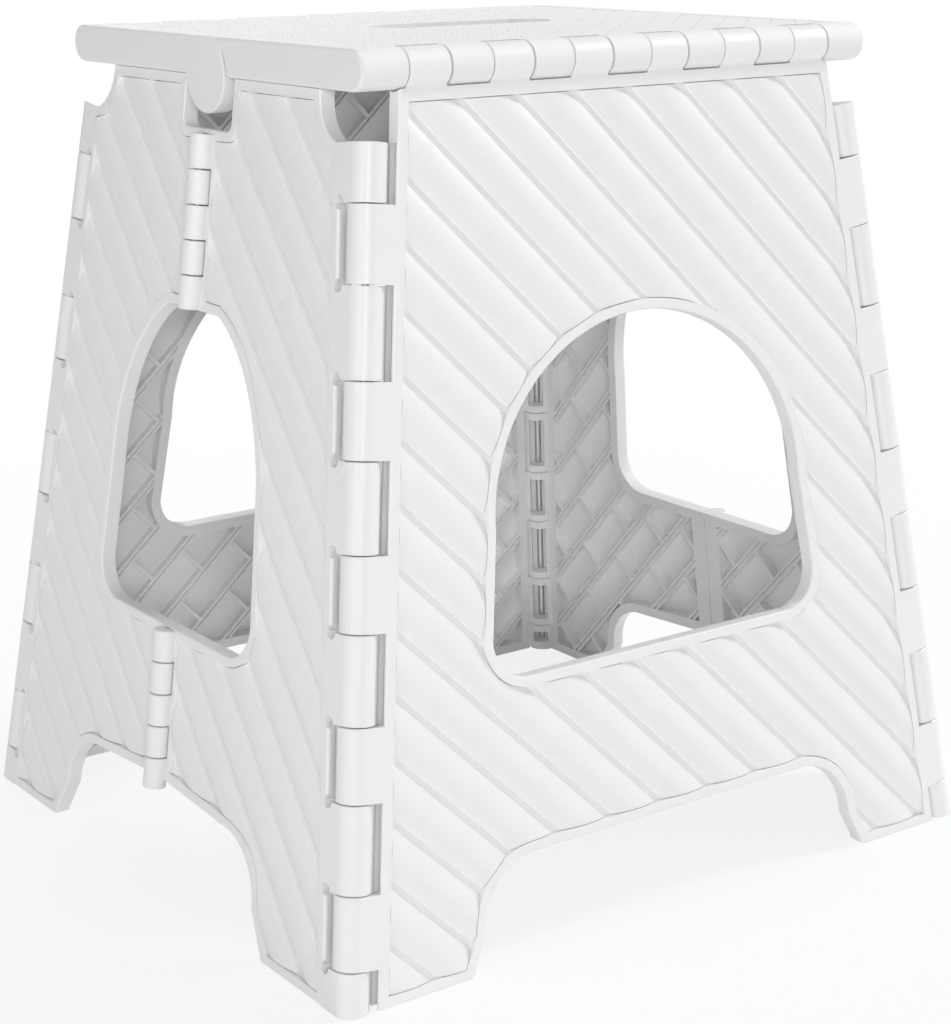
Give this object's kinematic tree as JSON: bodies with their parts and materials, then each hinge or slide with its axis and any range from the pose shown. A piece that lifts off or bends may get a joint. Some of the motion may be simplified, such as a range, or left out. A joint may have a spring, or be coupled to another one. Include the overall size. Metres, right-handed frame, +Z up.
{
  "type": "collapsible stool",
  "caption": "Folding plastic step stool: hinged panels under a two-part seat with a handle slot; pulling the seat up folds it flat.",
  "frame": {"origin": "on the floor, under the middle of the seat", "axes": "+X to the right of someone facing the front panel, +Y to the back, +Z up"},
  "size_m": [0.3714, 0.3392, 0.39],
  "materials": {
    "moulded_polypropylene": "satin, injection moulded, off-white",
    "pin_steel": "drawn wire"
  },
  "bodies": {
    "front": {"front_panel": "moulded_polypropylene", "corner_pin_front_left": "pin_steel", "corner_pin_front_right": "pin_steel", "edge_pin_front": "pin_steel"},
    "back": {"back_panel": "moulded_polypropylene", "corner_pin_back_left": "pin_steel", "corner_pin_back_right": "pin_steel", "edge_pin_back": "pin_steel"},
    "left_front": {"left_side_front": "moulded_polypropylene", "side_pin_left_lower": "pin_steel", "side_pin_left_upper": "pin_steel"},
    "left_back": {"left_side_back": "moulded_polypropylene"},
    "right_front": {"right_side_front": "moulded_polypropylene", "side_pin_right_lower": "pin_steel", "side_pin_right_upper": "pin_steel"},
    "right_back": {"right_side_back": "moulded_polypropylene"},
    "seat_near": {"seat_front": "moulded_polypropylene", "centre_pin_left": "pin_steel", "centre_pin_right": "pin_steel"},
    "seat_far": {"seat_back": "moulded_polypropylene"}
  },
  "joints": [
    {"name": "corner_front_left", "type": "hinge", "parent": "front", "child": "left_front", "pos_m": [-0.177, -0.1615, 0], "axis": [-0.1292, -0.1253, -0.9837], "range_deg": [0, 90]},
    {"name": "left_middle", "type": "hinge", "parent": "left_front", "child": "left_back", "pos_m": [-0.18642, 0, 0.00124], "axis": [0.1302, 0, 0.9915], "range_deg": [0, 178.2]},
    {"name": "corner_back_left", "type": "hinge", "parent": "left_back", "child": "back", "pos_m": [-0.177, 0.1615, 0], "axis": [-0.1292, 0.1253, -0.9837], "range_deg": [0, 90]},
    {"name": "corner_front_right", "type": "hinge", "parent": "front", "child": "right_front", "pos_m": [0.177, -0.1615, 0], "axis": [-0.1292, 0.1253, 0.9837], "range_deg": [0, 90]},
    {"name": "corner_back_right", "type": "hinge", "parent": "back", "child": "right_back", "pos_m": [0.177, 0.1615, 0], "axis": [0.1292, 0.1253, -0.9837], "range_deg": [0, 90]},
    {"name": "seat_edge_front", "type": "hinge", "parent": "front", "child": "seat_near", "pos_m": [0, -0.117, 0.3815], "axis": [1, 0, 0], "range_deg": [0, 79.88]},
    {"name": "seat_edge_back", "type": "hinge", "parent": "back", "child": "seat_far", "pos_m": [0, 0.117, 0.3815], "axis": [-1, 0, 0], "range_deg": [0, 79.88]}
  ],
  "couplings": [
    {"joint": "left_middle", "follows": "corner_front_left", "ratio": 1.98},
    {"joint": "corner_back_left", "follows": "corner_front_left", "ratio": 1},
    {"joint": "corner_front_right", "follows": "corner_front_left", "ratio": 1},
    {"joint": "corner_back_right", "follows": "corner_front_left", "ratio": 1},
    {"joint": "seat_edge_front", "follows": "corner_front_left", "ratio": 0.8875},
    {"joint": "seat_edge_back", "follows": "corner_front_left", "ratio": 0.8875}
  ]
}
